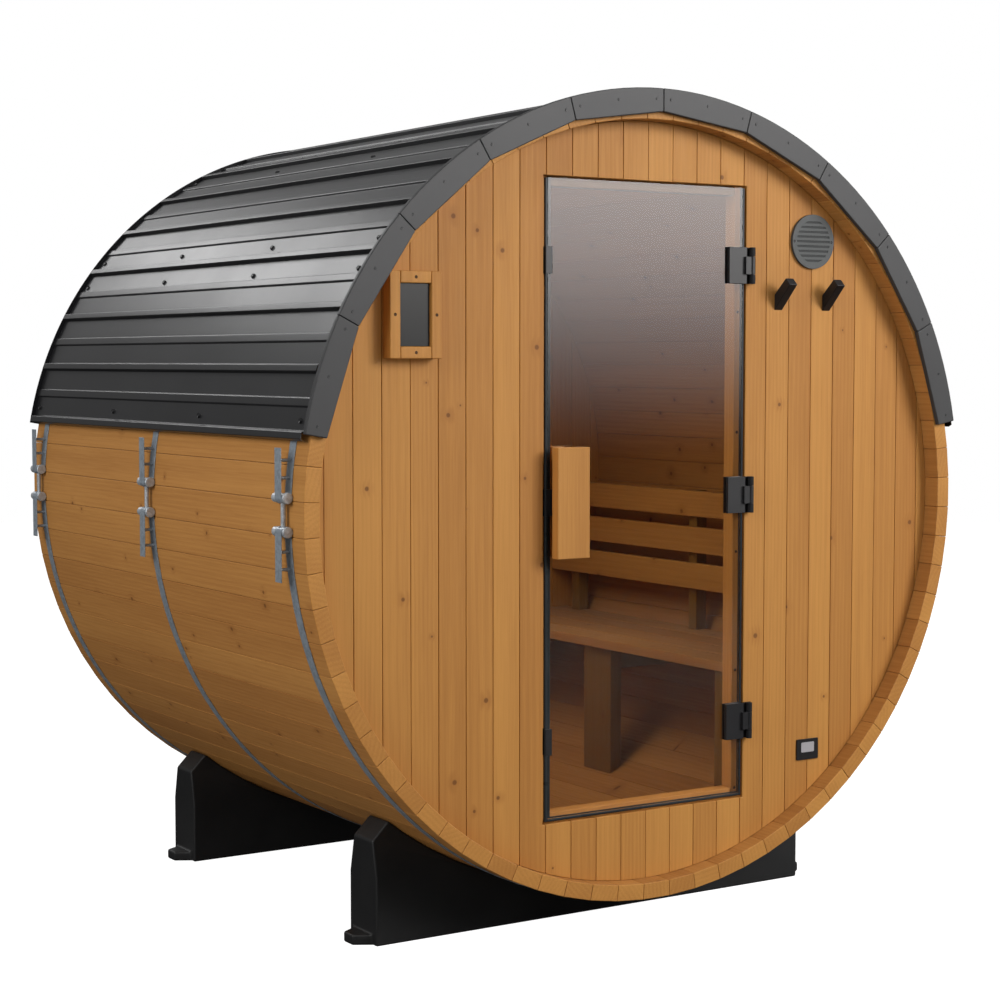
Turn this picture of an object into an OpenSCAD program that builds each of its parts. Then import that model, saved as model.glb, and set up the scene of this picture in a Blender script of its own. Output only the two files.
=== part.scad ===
// Barrel sauna: a cabin of wooden staves lying on two cradles, with a ribbed metal
// roof, a glass door in the front wall and a bench inside.
// Millimetres. Z is up, the door faces -Y, and the origin is on the ground under the
// middle of the barrel.

/* [Barrel] */
// Radius of the barrel over the outer corners of its staves
barrel_r = 1025; // [990:5:1150]
// Length of the staves
barrel_len = 1743; // [1500:1:2600]
// Thickness of a stave
stave_t = 42; // [32:1:55]
// Number of staves, a multiple of four
stave_count = 76; // [64:4:92]
// Seam between two staves
stave_seam = 0.4; // [0.2:0.1:1]
// Height of the barrel's lowest stave above the ground
under_clear = 87; // [60:1:160]

/* [End walls] */
// Distance of each end wall's outer face from the end of the staves
wall_inset = 50; // [40:1:90]
// Thickness of an end wall
wall_t = 42; // [34:1:60]
// Gap left between pieces that seat on each other
seat_gap = 0.3; // [0.1:0.1:0.6]

/* [Doorway] */
// Width of the opening in the front wall
door_w = 648; // [560:2:700]
// Height of the opening in the front wall
door_h = 1636; // [1500:2:1660]
// Height of the opening's middle above the barrel's axis
door_mid = 14; // [0:1:20]
// Width of the stop strip that lines the opening
stop_w = 25; // [18:1:32]
// Depth of the stop strip
stop_depth = 40; // [30:1:60]
// Space between the closed glass and the stop strip
stop_space = 14; // [12:1:20]

/* [Door] */
// Gap between the edge of the door and the opening
edge_gap = 6; // [5:0.5:9]
// Thickness of the glass
glass_t = 8; // [6:1:12]
// Width of the seal along the glass edge
seal_w = 7; // [4:1:10]
// Width of the outer handle board
handle_w = 98; // [60:1:120]
// Height of both handles
handle_h = 280; // [200:5:400]
// Thickness of both handles
handle_t = 27; // [20:1:35]
// Width of the inner handle bar
inner_handle_w = 40; // [30:1:60]
// Distance of a handle from the glass
handle_space = 20; // [15:1:30]
// Distance of the handle's middle from the free edge of the door
handle_from_edge = 56; // [54:1:90]
// Distance between the two posts of a handle
post_span = 180; // [120:2:180]
// Radius of a handle post
post_r = 8; // [5:0.5:12]

/* [Hinges] */
// Distance between two hinges
hinge_pitch = 608; // [500:2:640]
// Height of a hinge
hinge_h = 96; // [70:2:110]
// Width of the clamp on the glass
clamp_w = 58; // [40:1:70]
// Thickness of the clamp's outer plate
clamp_t = 10; // [8:1:12]
// Thickness of the clamp's inner plate
clamp_back_t = 6; // [4:1:6]
// Radius of the knuckle
knuckle_r = 8; // [7:0.5:9]
// Radius of the hinge pin
pin_r = 4; // [3:0.5:5]
// Distance of the pin from the opening's edge
pin_out = 10; // [9:0.5:14]
// Distance of the pin from the wall's face
pin_off = 14; // [13:0.5:16]
// Width of the bracket's plate on the wall
bracket_w = 24; // [22:1:34]
// Thickness of the bracket's plate
bracket_t = 3; // [2:0.5:3]

/* [Catches] */
// Height of a catch plate
catch_h = 68; // [50:1:90]
// Thickness of a catch plate
catch_t = 6; // [3:0.5:7]

/* [Roof] */
// Angle of the roof's lower edges above the horizontal
roof_start = 10.2; // [6:0.2:16]
// Number of ribs on each sheet
ribs_per_sheet = 3; // [2:1:4]
// Thickness of the battens under the sheets
batten_t = 12; // [10:1:20]
// Width of a batten
batten_w = 38; // [25:1:44]
// Number of battens
batten_count = 4; // [3:1:4]
// Distance of the outer battens' middle from the end of the staves
batten_inset = 33; // [24:1:40]
// Thickness of the roofing sheet
sheet_t = 1.5; // [1:0.1:2]
// Height of a tall rib
rib_h = 11; // [6:0.5:14]
// Height of a shallow rib
low_rib_h = 4; // [2:0.5:6]

/* [Fascia] */
// Number of fascia boards in an arch
fascia_count = 10; // [8:1:14]
// Height of the front arch's middle above the barrel's axis
fascia_rise = 16; // [0:1:20]
// Outer radius of the front arch beyond the barrel's
fascia_over = 19; // [18:1:40]
// Depth of the fascia's corners inside the barrel's outer radius
fascia_lap = 40; // [12:1:44]
// Thickness of a fascia board
fascia_t = 16; // [12:1:28]

/* [Bands] */
// Width of a steel band
band_w = 32; // [20:1:40]
// Thickness of a steel band
band_t = 1.5; // [1:0.1:2]
// Distance of the outer bands' middle from the end of the staves
band_inset = 78; // [74:1:110]
// Height of the tensioners' middle above the barrel's axis
tensioner_mid = 10; // [0:1:12]
// Distance between the two nuts of a tensioner
nut_span = 80; // [70:1:96]
// Radius of a nut
nut_r = 12; // [10:0.5:16]
// Length of a nut
nut_len = 44; // [42:1:60]
// Radius of the threaded rod
rod_r = 6; // [4:0.5:8]
// Length of the folded band end beyond its nut
loop_len = 118; // [90:1:118]
// Radius of the rivets that hold the folded band end
rivet_r = 4; // [2:0.5:6]

/* [Cradles] */
// Distance of a cradle's middle from the end of the staves
cradle_inset = 324; // [220:1:420]
// Thickness of a cradle at its foot
cradle_t = 139; // [110:1:170]
// Thickness of a cradle at its top
cradle_top_t = 99; // [80:1:105]
// Half the length of a cradle
cradle_half = 693; // [660:1:720]
// Height of a cradle's end
cradle_end_h = 267; // [250:1:280]
// Height up to which a cradle keeps its full thickness
cradle_straight_h = 172; // [120:1:200]
// Distance that the hip at a cradle's end runs back
hip_run = 48; // [30:1:52]
// Length of the tab at a cradle's foot
tab_len = 45; // [30:1:60]
// Width of the tab at its tip
tab_w = 45; // [30:1:60]
// Height of the tab
tab_h = 28; // [16:1:36]

/* [Wall fittings] */
// Radius of the vent grille
vent_r = 73; // [50:1:85]
// Thickness of the vent grille
vent_t = 8; // [5:1:16]
// Width of the vent's plain rim
vent_rim = 15; // [8:1:20]
// Direction of the vent from the barrel's axis, above the horizontal
vent_angle = 51.5; // [46:0.5:56]
// Gap between the vent and the staves
vent_rim_gap = 25; // [10:1:30]
// Number of slots in the vent
slot_count = 9; // [6:1:11]
// Height of a slot
slot_h = 6; // [3:0.5:7]
// Distance between the two robe hooks
hook_span = 168; // [140:1:180]
// Sideways place of the hooks' middle, from the vent's middle
hook_shift = -31; // [-36:1:0]
// Drop from the vent's lower edge to the foot of the hooks
hook_drop = 113; // [100:1:140]
// Width of a robe hook
hook_w = 27; // [18:1:32]
// Width of the panel box
panel_w = 144; // [110:1:150]
// Height of the panel box
panel_h = 209; // [160:1:220]
// Depth of the panel box
panel_depth = 36; // [20:1:50]
// Height of the panel box's middle above the barrel's axis
panel_mid = 480; // [380:1:490]
// Width of the panel box's frame strips
panel_strip = 29; // [20:1:35]
// Gap between the panel box's upper corner and the staves
panel_rim_gap = 3; // [2:0.5:20]
// Thickness of the panel's glass
panel_glass_t = 4; // [3:0.5:6]
// Depth of the panel's glass behind the frame's face
panel_glass_in = 10; // [4:1:12]

/* [Bench] */
// Height of the seat above the lowest stave's inner face
seat_h = 512; // [420:1:540]
// Distance of the seat's front edge from the barrel's axis
bench_x = 420; // [380:5:470]
// Thickness of the seat boards
seat_t = 28; // [20:1:40]
// Number of seat boards
seat_boards = 4; // [3:1:5]
// Gap between two seat boards
seat_board_gap = 6; // [3:0.5:15]
// Gap between the bench's ends and the end walls
bench_end_gap = 8; // [2:1:30]
// Number of frames under the bench
bench_frame_count = 3; // [2:1:4]
// Distance of the outer frames' middle from the bench's ends
frame_inset = 110; // [80:1:200]
// Width of a bench leg
leg_w = 140; // [60:1:150]
// Thickness of a bench leg and of the backrest's posts
leg_t = 40; // [28:1:50]
// Distance of a leg behind the seat's front edge
leg_back = 18; // [0:1:40]
// Height of the rail under the seat
rail_h = 70; // [45:1:100]
// Distance of the backrest's face from the barrel's axis
backrest_x = 780; // [730:1:785]
// Gap between the seat and the lowest backrest slat
backrest_rise = 131; // [60:1:200]
// Number of backrest slats
slat_count = 3; // [2:1:4]
// Height of a backrest slat
slat_h = 80; // [60:1:100]
// Gap between two backrest slats
slat_gap = 33; // [15:1:40]
// Thickness of a backrest slat
slat_t = 22; // [16:1:28]

/* [Hidden] */
$fn = 240;
WOOD = "peru";
DARK_METAL = "dimgray";
BLACK = [0.08, 0.08, 0.09];
STEEL = "lightsteelblue";

stave_half = 180 / stave_count;
stave_out = barrel_r * cos(stave_half);
inner_r = stave_out - stave_t;
axis_z = under_clear + stave_out;
front_y = -barrel_len / 2;
back_y = barrel_len / 2;

wall_r = inner_r - seat_gap;
wall_y = front_y + wall_inset;
rear_wall_y = back_y - wall_inset - wall_t;
room_front = wall_y + wall_t;

door_half = door_w / 2;
door_low = door_mid - door_h / 2;
door_high = door_mid + door_h / 2;
glass_half = door_half - edge_gap - seal_w - seat_gap;
glass_low = door_low + edge_gap + seal_w + seat_gap;
glass_high = door_high - edge_gap;
glass_back = wall_y + glass_t;
stop_y = glass_back + stop_space;

pin_x = door_half + pin_out;
pin_y = wall_y - pin_off;
clamp_x = door_half - edge_gap;
knuckle_mid_h = hinge_h / 2 - 2;
knuckle_end_h = hinge_h / 4;
pin_clear = 0.05;
hinge_heights = [for (i = [-1:1]) door_mid + i * hinge_pitch];

handle_x = -(door_half - edge_gap) + handle_from_edge;

batten_out = stave_out / cos(stave_half) + seat_gap + batten_t;
sheet_r = batten_out + 2 * seat_gap;
sheets_per_side = 3;
roof_span = 180 - 2 * roof_start;
sheet_span = roof_span / 2 / sheets_per_side;
rib_pitch = sheet_span / ribs_per_sheet;
sheet_seam = 0.04;
fascia_r = barrel_r + fascia_over;
fascia_in = barrel_r - fascia_lap;
rear_fascia_r = batten_out;

band_r = barrel_r + seat_gap;
loop_r = nut_r + seat_gap + band_t;
wrap_lap = band_t * 0.6;
wrap_leg = 8;
nut_x = band_r + loop_r - wrap_lap;
rivet_shares = [0.4, 0.75];
band_places = [front_y + band_inset, 0, back_y - band_inset];

vent_dist = wall_r - vent_rim_gap - vent_r;
vent_x = vent_dist * cos(vent_angle);
vent_z = vent_dist * sin(vent_angle);
hook_foot = vent_z - vent_r - hook_drop;
hook_foot_h = 42;
hook_reach = 46;
hook_tip = 17;

panel_top = panel_mid + panel_h / 2;
panel_left = sqrt(pow(wall_r - panel_rim_gap, 2) - pow(panel_top, 2));
panel_x = -panel_left + panel_w / 2;

seat_z = -inner_r + seat_h;
bench_front = room_front + stop_depth + bench_end_gap;
bench_back = rear_wall_y - bench_end_gap;
bench_len = bench_back - bench_front;
bench_wall_x = sqrt(pow(wall_r, 2) - pow(seat_z - seat_t, 2));
seat_board_w = (bench_wall_x - bench_x - (seat_boards - 1) * seat_board_gap) / seat_boards;
frame_step = (bench_len - 2 * frame_inset) / (bench_frame_count - 1);
frame_places = [for (i = [0:bench_frame_count - 1]) bench_front + frame_inset + i * frame_step];
post_x = backrest_x + slat_t + seat_gap;
backrest_top = seat_z + backrest_rise + slat_count * slat_h + (slat_count - 1) * slat_gap;

// A point at radius r and angle a in the plane across the barrel.
function polar(r, a) = [r * cos(a), r * sin(a)];

// Turns an outline drawn across the barrel, about its axis, into a solid between two places.
module across(y_from, y_to) {
    translate([0, y_to, axis_z]) rotate([90, 0, 0]) linear_extrude(y_to - y_from) children();
}

// A box between two corners, with heights counted from the barrel's axis.
module block(low, high) {
    translate([low[0], low[1], low[2] + axis_z]) cube(high - low);
}

// The room inside the staves, for cutting pieces that seat on them.
module room_space() {
    across(front_y, back_y) circle(wall_r);
}

// Staves

module stave() {
    inner_half = inner_r * tan(stave_half) - stave_seam / 2;
    outer_half = stave_out * tan(stave_half) - stave_seam / 2;
    polygon([[-outer_half, stave_out], [outer_half, stave_out], [inner_half, inner_r], [-inner_half, inner_r]]);
}

// A quarter of the barrel, centred on one direction.
module stave_quarter(direction) {
    quarter = stave_count / 4;
    color(WOOD)
        for (i = [0:quarter - 1])
            across(front_y, back_y)
                rotate(direction - 90 + (i - (quarter - 1) / 2) * 2 * stave_half) stave();
}

// End walls

module wall_piece(low, high) {
    color(WOOD)
        across(wall_y, wall_y + wall_t)
            intersection() {
                circle(wall_r);
                translate(low) square(high - low);
            }
}

module front_wall_left() { wall_piece([-barrel_r, -barrel_r], [-door_half, barrel_r]); }
module front_wall_right() { wall_piece([door_half, -barrel_r], [barrel_r, barrel_r]); }
module front_wall_header() {
    wall_piece([-door_half + seat_gap, door_high], [door_half - seat_gap, barrel_r]);
}
module front_wall_sill() {
    wall_piece([-door_half + seat_gap, -barrel_r], [door_half - seat_gap, door_low]);
}

module rear_wall() {
    color(WOOD) across(rear_wall_y, rear_wall_y + wall_t) circle(wall_r);
}

// Stop strips round the doorway

module side_stop(side) {
    outer = door_half - seat_gap;
    color(WOOD)
        block([side < 0 ? -outer : outer - stop_w, stop_y, door_low + seat_gap],
              [side < 0 ? -outer + stop_w : outer, stop_y + stop_depth, door_high - seat_gap]);
}

module cross_stop(low) {
    inner = door_half - 2 * seat_gap - stop_w;
    color(WOOD)
        block([-inner, stop_y, low], [inner, stop_y + stop_depth, low + stop_w]);
}

module door_stop_left() { side_stop(-1); }
module door_stop_right() { side_stop(1); }
module door_stop_head() { cross_stop(door_high - seat_gap - stop_w); }
module door_stop_sill() { cross_stop(door_low + seat_gap); }

// Door

module door_glass() {
    color("slategray", 0.5)
        block([-glass_half, wall_y, glass_low], [glass_half, glass_back, glass_high]);
}

// Seal strips along the two upright edges and the lower edge of the glass.
module door_seal() {
    outer = door_half - edge_gap;
    low = door_low + edge_gap;
    color(BLACK) {
        for (side = [-1, 1])
            block([side < 0 ? -outer : outer - seal_w, wall_y, low],
                  [side < 0 ? -outer + seal_w : outer, glass_back, glass_high]);
        block([-glass_half, wall_y, low], [glass_half, glass_back, low + seal_w]);
    }
}

// One clamp: a plate on each face of the glass and the middle knuckle on the pin.
module hinge_clamp(height) {
    color(BLACK) {
        difference() {
            union() {
                block([clamp_x - clamp_w, wall_y - seat_gap - clamp_t, height - hinge_h / 2],
                      [clamp_x, wall_y - seat_gap, height + hinge_h / 2]);
                block([clamp_x - knuckle_r, pin_y - knuckle_r / 2, height - knuckle_mid_h / 2],
                      [pin_x, pin_y + knuckle_r / 2, height + knuckle_mid_h / 2]);
                translate([pin_x, pin_y, axis_z + height])
                    cylinder(r = knuckle_r, h = knuckle_mid_h, center = true);
            }
            translate([pin_x, pin_y, axis_z + height])
                cylinder(r = pin_r + pin_clear, h = hinge_h, center = true);
        }
        block([clamp_x - clamp_w, glass_back + seat_gap, height - hinge_h / 2],
              [clamp_x, glass_back + seat_gap + clamp_back_t, height + hinge_h / 2]);
    }
}

module hinge_clamps() {
    for (height = hinge_heights) hinge_clamp(height);
}

// One bracket: a plate on the wall, the two outer knuckles and the pin.
module hinge_bracket(height) {
    plate_x = door_half + seat_gap;
    color(BLACK) {
        block([plate_x, wall_y - seat_gap - bracket_t, height - hinge_h / 2],
              [plate_x + bracket_w, wall_y - seat_gap, height + hinge_h / 2]);
        for (side = [-1, 1]) {
            knuckle_z = height + side * (hinge_h - knuckle_end_h) / 2;
            translate([pin_x, pin_y, axis_z + knuckle_z])
                cylinder(r = knuckle_r, h = knuckle_end_h, center = true);
            block([pin_x - knuckle_r / 2, pin_y, knuckle_z - knuckle_end_h / 2],
                  [pin_x + knuckle_r / 2, wall_y - seat_gap - bracket_t / 2, knuckle_z + knuckle_end_h / 2]);
        }
        translate([pin_x, pin_y, axis_z + height])
            cylinder(r = pin_r, h = hinge_h, center = true);
    }
}

module hinge_brackets() {
    for (height = hinge_heights) hinge_bracket(height);
}

// Catch plates on the stop strip at the door's free edge.
module catch_plates() {
    outer = door_half - 2 * seat_gap;
    color(BLACK)
        for (height = hinge_heights)
            block([-outer, stop_y - seat_gap - catch_t, height - catch_h / 2],
                  [-outer + stop_w - 2 * seat_gap, stop_y - seat_gap, height + catch_h / 2]);
}

module handle_board(width, y_from) {
    color(WOOD)
        block([handle_x - width / 2, y_from, door_mid - handle_h / 2],
              [handle_x + width / 2, y_from + handle_t, door_mid + handle_h / 2]);
}

module door_handle_outer() { handle_board(handle_w, wall_y - handle_space - handle_t); }
module door_handle_inner() { handle_board(inner_handle_w, glass_back + handle_space); }

module handle_posts() {
    color(BLACK)
        for (face = [wall_y - handle_space, glass_back], side = [-1, 1])
            translate([handle_x, face + seat_gap, axis_z + door_mid + side * post_span / 2])
                rotate([-90, 0, 0]) cylinder(r = post_r, h = handle_space - 2 * seat_gap);
}

// Roof

module roof_battens() {
    step = (barrel_len - 2 * batten_inset) / (batten_count - 1);
    color(WOOD)
        for (i = [0:batten_count - 1])
            translate([0, front_y + batten_inset + i * step, axis_z])
                rotate([90, 0, 0])
                    rotate([0, 0, roof_start + 1])
                        rotate_extrude(angle = roof_span - 2)
                            translate([batten_out - batten_t, -batten_w / 2]) square([batten_t, batten_w]);
}

// Rise of the ribbed sheet above its flat parts, from the lower edge of one rib to the next:
// pairs of the share of the pitch and the height there.
RIB_FORM = [
    [0, 0], [0.02, rib_h], [0.12, rib_h], [0.16, 0],
    [0.49, 0], [0.51, low_rib_h], [0.63, low_rib_h], [0.65, 0]
];

// The outline of one sheet, counted upwards from the lower edge of the left roof.
module sheet_outline(place) {
    low = 180 - roof_start - place * sheet_span - sheet_seam;
    form = [for (rib = [0:ribs_per_sheet - 1], point = RIB_FORM) [(rib + point[0]) * rib_pitch, point[1]]];
    line = concat(form, [[sheet_span - 2 * sheet_seam, 0]]);
    outer = [for (point = line) polar(sheet_r + sheet_t + point[1], low - point[0])];
    inner = [for (i = [len(line) - 1:-1:0]) polar(sheet_r + line[i][1], low - line[i][0])];
    polygon(concat(outer, inner));
}

module roof_sheet(side, place) {
    color(DARK_METAL)
        across(front_y + seat_gap, back_y - seat_gap)
            mirror([side > 0 ? 1 : 0, 0]) sheet_outline(place);
}

module roof_sheet_left_low() { roof_sheet(-1, 0); }
module roof_sheet_left_middle() { roof_sheet(-1, 1); }
module roof_sheet_left_top() { roof_sheet(-1, 2); }
module roof_sheet_right_low() { roof_sheet(1, 0); }
module roof_sheet_right_middle() { roof_sheet(1, 1); }
module roof_sheet_right_top() { roof_sheet(1, 2); }

// An arch of straight-backed boards on the ends of the staves.
module fascia(y_from, rise, radius) {
    span = roof_span / fascia_count;
    seam = stave_seam / fascia_in * 90 / PI;
    reach = radius / cos(span / 2) + fascia_lap;
    color(DARK_METAL)
        for (i = [0:fascia_count - 1]) {
            low = roof_start + i * span + seam;
            high = roof_start + (i + 1) * span - seam;
            across(y_from, y_from + fascia_t)
                translate([0, rise])
                    intersection() {
                        circle(radius);
                        polygon([polar(fascia_in, low), polar(reach, low), polar(reach, high),
                                 polar(fascia_in, high)]);
                    }
        }
}

// The front arch stands above the sheets, and the rear one closes the space under them.
module front_fascia() { fascia(front_y - fascia_t, fascia_rise, fascia_r); }
module rear_fascia() { fascia(back_y, 0, rear_fascia_r); }

// Steel bands

// One folded band end on the right side: the band comes along the staves, turns round its nut
// and goes back outside itself to a free end.
module band_end(up) {
    inside = nut_r + seat_gap;
    steps = 16;
    turn = [for (i = [0:steps]) 180 + i * 180 / steps];
    outer = [for (a = turn) polar(loop_r, a)];
    inner = [for (i = [steps:-1:0]) polar(inside, turn[i])];
    translate([nut_x, tensioner_mid + up * nut_span / 2])
        mirror([0, up < 0 ? 1 : 0])
            polygon(concat([[-loop_r, wrap_leg]], outer, [[loop_r, loop_len], [inside, loop_len]],
                           inner, [[-inside, wrap_leg]]));
}

// The strip on the staves from one nut to the other, over the top or under the barrel.
module band_strip(up) {
    end_z = tensioner_mid + up * (nut_span + wrap_leg) / 2;
    end_x = sqrt(pow(band_r, 2) - pow(end_z, 2));
    far = 2 * barrel_r;
    difference() {
        circle(band_r + band_t);
        circle(band_r);
        polygon([[0, 0], [-end_x, end_z] * far / band_r, [-far, -up * far], [far, -up * far],
                 [end_x, end_z] * far / band_r]);
    }
}

// Rivets between the two layers of a folded end, on one side.
module band_rivets(side, y_mid) {
    for (up = [-1, 1], share = rivet_shares) {
        z = tensioner_mid + up * (nut_span / 2 + share * loop_len);
        from_x = sqrt(pow(band_r + band_t / 2, 2) - pow(z, 2));
        translate([side * from_x, y_mid, axis_z + z])
            rotate([0, side * 90, 0])
                cylinder(r = rivet_r, h = nut_x + loop_r - band_t / 2 - from_x, $fn = 8);
    }
}

module steel_band(y_mid) {
    color(STEEL) {
        difference() {
            across(y_mid - band_w / 2, y_mid + band_w / 2)
                for (up = [-1, 1]) {
                    band_strip(up);
                    band_end(up);
                    mirror([1, 0]) band_end(up);
                }
            for (side = [-1, 1])
                translate([side * nut_x, y_mid, axis_z + tensioner_mid])
                    cube([3 * rod_r, 2 * rod_r + 2, nut_span], center = true);
        }
        for (side = [-1, 1]) band_rivets(side, y_mid);
    }
}

module steel_band_front() { steel_band(band_places[0]); }
module steel_band_middle() { steel_band(band_places[1]); }
module steel_band_rear() { steel_band(band_places[2]); }

module band_tensioners(side) {
    color("silver")
        for (y_mid = band_places)
            translate([side * nut_x, y_mid, axis_z + tensioner_mid]) {
                cylinder(r = rod_r, h = nut_span, center = true);
                for (up = [-1, 1])
                    translate([0, 0, up * nut_span / 2])
                        rotate([90, 0, 0]) cylinder(r = nut_r, h = nut_len, center = true);
            }
}

module band_tensioners_left() { band_tensioners(-1); }
module band_tensioners_right() { band_tensioners(1); }

// Cradles

// The cradle seen along the barrel: a saddle with sloped hips at its ends.
module cradle_outline() {
    top = cradle_end_h + hip_run;
    difference() {
        polygon([[-cradle_half, 0], [cradle_half, 0], [cradle_half, cradle_end_h],
                 [cradle_half - hip_run, top], [hip_run - cradle_half, top], [-cradle_half, cradle_end_h]]);
        translate([0, axis_z]) circle(barrel_r + seat_gap);
    }
}

module cradle(y_mid) {
    top = cradle_end_h + hip_run;
    color(BLACK)
        translate([0, y_mid, 0]) {
            intersection() {
                rotate([90, 0, 0]) linear_extrude(cradle_t, center = true) cradle_outline();
                rotate([90, 0, 90]) linear_extrude(2 * cradle_half, center = true)
                    polygon([[-cradle_t / 2, 0], [cradle_t / 2, 0], [cradle_t / 2, cradle_straight_h],
                             [cradle_top_t / 2, cradle_end_h], [cradle_top_t / 2, top],
                             [-cradle_top_t / 2, top], [-cradle_top_t / 2, cradle_end_h],
                             [-cradle_t / 2, cradle_straight_h]]);
            }
            for (side = [-1, 1])
                linear_extrude(tab_h)
                    polygon([[side * (cradle_half - tab_len), -cradle_top_t / 2],
                             [side * cradle_half, -cradle_top_t / 2],
                             [side * (cradle_half + tab_len), -tab_w / 2],
                             [side * (cradle_half + tab_len), tab_w / 2],
                             [side * cradle_half, cradle_top_t / 2],
                             [side * (cradle_half - tab_len), cradle_top_t / 2]]);
        }
}

module cradle_front() { cradle(front_y + cradle_inset); }
module cradle_rear() { cradle(back_y - cradle_inset); }

// Fittings on the front wall

// A round plate with level slots inside a plain rim.
module vent_grille() {
    hole_r = vent_r - vent_rim;
    pitch = 2 * hole_r / slot_count;
    color("gray")
        translate([vent_x, 0, vent_z])
            across(wall_y - seat_gap - vent_t, wall_y - seat_gap)
                difference() {
                    circle(vent_r);
                    intersection() {
                        circle(hole_r);
                        for (i = [0:slot_count - 1])
                            translate([0, (i + 0.5 - slot_count / 2) * pitch])
                                square([2 * hole_r, slot_h], center = true);
                    }
                }
}

// Pegs that slope up and out from the wall.
module robe_hooks() {
    color(BLACK)
        for (side = [-1, 1])
            translate([vent_x + hook_shift + side * hook_span / 2, wall_y - seat_gap, axis_z + hook_foot])
                rotate([90, 0, 90]) linear_extrude(hook_w, center = true)
                    polygon([[0, 0], [0, hook_foot_h], [-hook_reach, 2 * hook_foot_h],
                             [-hook_reach - hook_tip, 2 * hook_foot_h - hook_tip]]);
}

module panel_box_frame() {
    outer = wall_y - seat_gap;
    low = panel_mid - panel_h / 2;
    right = panel_x + panel_w / 2;
    left = panel_x - panel_w / 2;
    color(WOOD) {
        for (x = [left, right - panel_strip])
            block([x, outer - panel_depth, low], [x + panel_strip, outer, panel_top]);
        for (z = [low, panel_top - panel_strip])
            block([left + panel_strip + seat_gap, outer - panel_depth, z],
                  [right - panel_strip - seat_gap, outer, z + panel_strip]);
    }
}

module panel_box_glass() {
    inset = panel_strip + 2 * seat_gap;
    face = wall_y - seat_gap - panel_depth + panel_glass_in;
    color("darkslategray")
        block([panel_x - panel_w / 2 + inset, face, panel_mid - panel_h / 2 + inset],
              [panel_x + panel_w / 2 - inset, face + panel_glass_t, panel_top - inset]);
}

// Bench

module bench_seat() {
    color(WOOD)
        intersection() {
            room_space();
            for (i = [0:seat_boards - 1]) {
                x = bench_x + i * (seat_board_w + seat_board_gap);
                block([x, bench_front, seat_z - seat_t], [x + seat_board_w, bench_back, seat_z]);
            }
        }
}

module bench_frames() {
    leg_x = bench_x + leg_back;
    top = seat_z - seat_t - seat_gap;
    color(WOOD)
        intersection() {
            room_space();
            for (y = frame_places) {
                block([leg_x, y - leg_w / 2, -barrel_r], [leg_x + leg_t, y + leg_w / 2, top]);
                block([leg_x + leg_t + seat_gap, y - leg_t / 2, top - rail_h], [barrel_r, y + leg_t / 2, top]);
            }
        }
}

module backrest_slats() {
    color(WOOD)
        for (i = [0:slat_count - 1]) {
            low = seat_z + backrest_rise + i * (slat_h + slat_gap);
            block([backrest_x, bench_front, low], [backrest_x + slat_t, bench_back, low + slat_h]);
        }
}

module backrest_posts() {
    color(WOOD)
        intersection() {
            room_space();
            for (y = frame_places)
                block([post_x, y - leg_t / 2, seat_z + seat_gap], [post_x + leg_t, y + leg_t / 2, backrest_top]);
        }
}

stave_quarter(270);  // staves_bottom
stave_quarter(180);  // staves_left
stave_quarter(0);  // staves_right
stave_quarter(90);  // staves_top
front_wall_left();
front_wall_right();
front_wall_header();
front_wall_sill();
rear_wall();
door_stop_left();
door_stop_right();
door_stop_head();
door_stop_sill();
door_glass();
door_seal();
hinge_clamps();
hinge_brackets();
catch_plates();
door_handle_outer();
door_handle_inner();
handle_posts();
roof_battens();
roof_sheet_left_low();
roof_sheet_left_middle();
roof_sheet_left_top();
roof_sheet_right_low();
roof_sheet_right_middle();
roof_sheet_right_top();
front_fascia();
rear_fascia();
steel_band_front();
steel_band_middle();
steel_band_rear();
band_tensioners_left();
band_tensioners_right();
cradle_front();
cradle_rear();
vent_grille();
robe_hooks();
panel_box_frame();
panel_box_glass();
bench_seat();
bench_frames();
backrest_slats();
backrest_posts();
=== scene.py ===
"""Finish of a barrel sauna: boards, roof sheets, fittings, materials and studio stage."""

import math
import random

import bmesh
import bpy
from bpy.props import FloatProperty, FloatVectorProperty, PointerProperty
from bpy.types import Operator, Panel, PropertyGroup
from mathutils import Matrix, Vector


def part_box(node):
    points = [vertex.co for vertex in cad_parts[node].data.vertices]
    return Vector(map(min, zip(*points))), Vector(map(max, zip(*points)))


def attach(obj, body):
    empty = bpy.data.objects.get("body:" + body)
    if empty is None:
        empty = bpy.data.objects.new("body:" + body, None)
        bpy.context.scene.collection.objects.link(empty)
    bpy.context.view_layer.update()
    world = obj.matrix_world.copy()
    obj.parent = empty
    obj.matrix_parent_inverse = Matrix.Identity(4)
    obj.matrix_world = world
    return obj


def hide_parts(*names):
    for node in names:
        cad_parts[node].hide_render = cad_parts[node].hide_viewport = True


bl_info = {
    "name": "Barrel Sauna",
    "version": (1, 0, 0),
    "blender": (4, 5, 0),
    "location": "View3D > Sidebar > Sauna",
    "description": "Builds the boards, fittings and finishes of a barrel sauna round its frame",
    "category": "Object",
}

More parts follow.
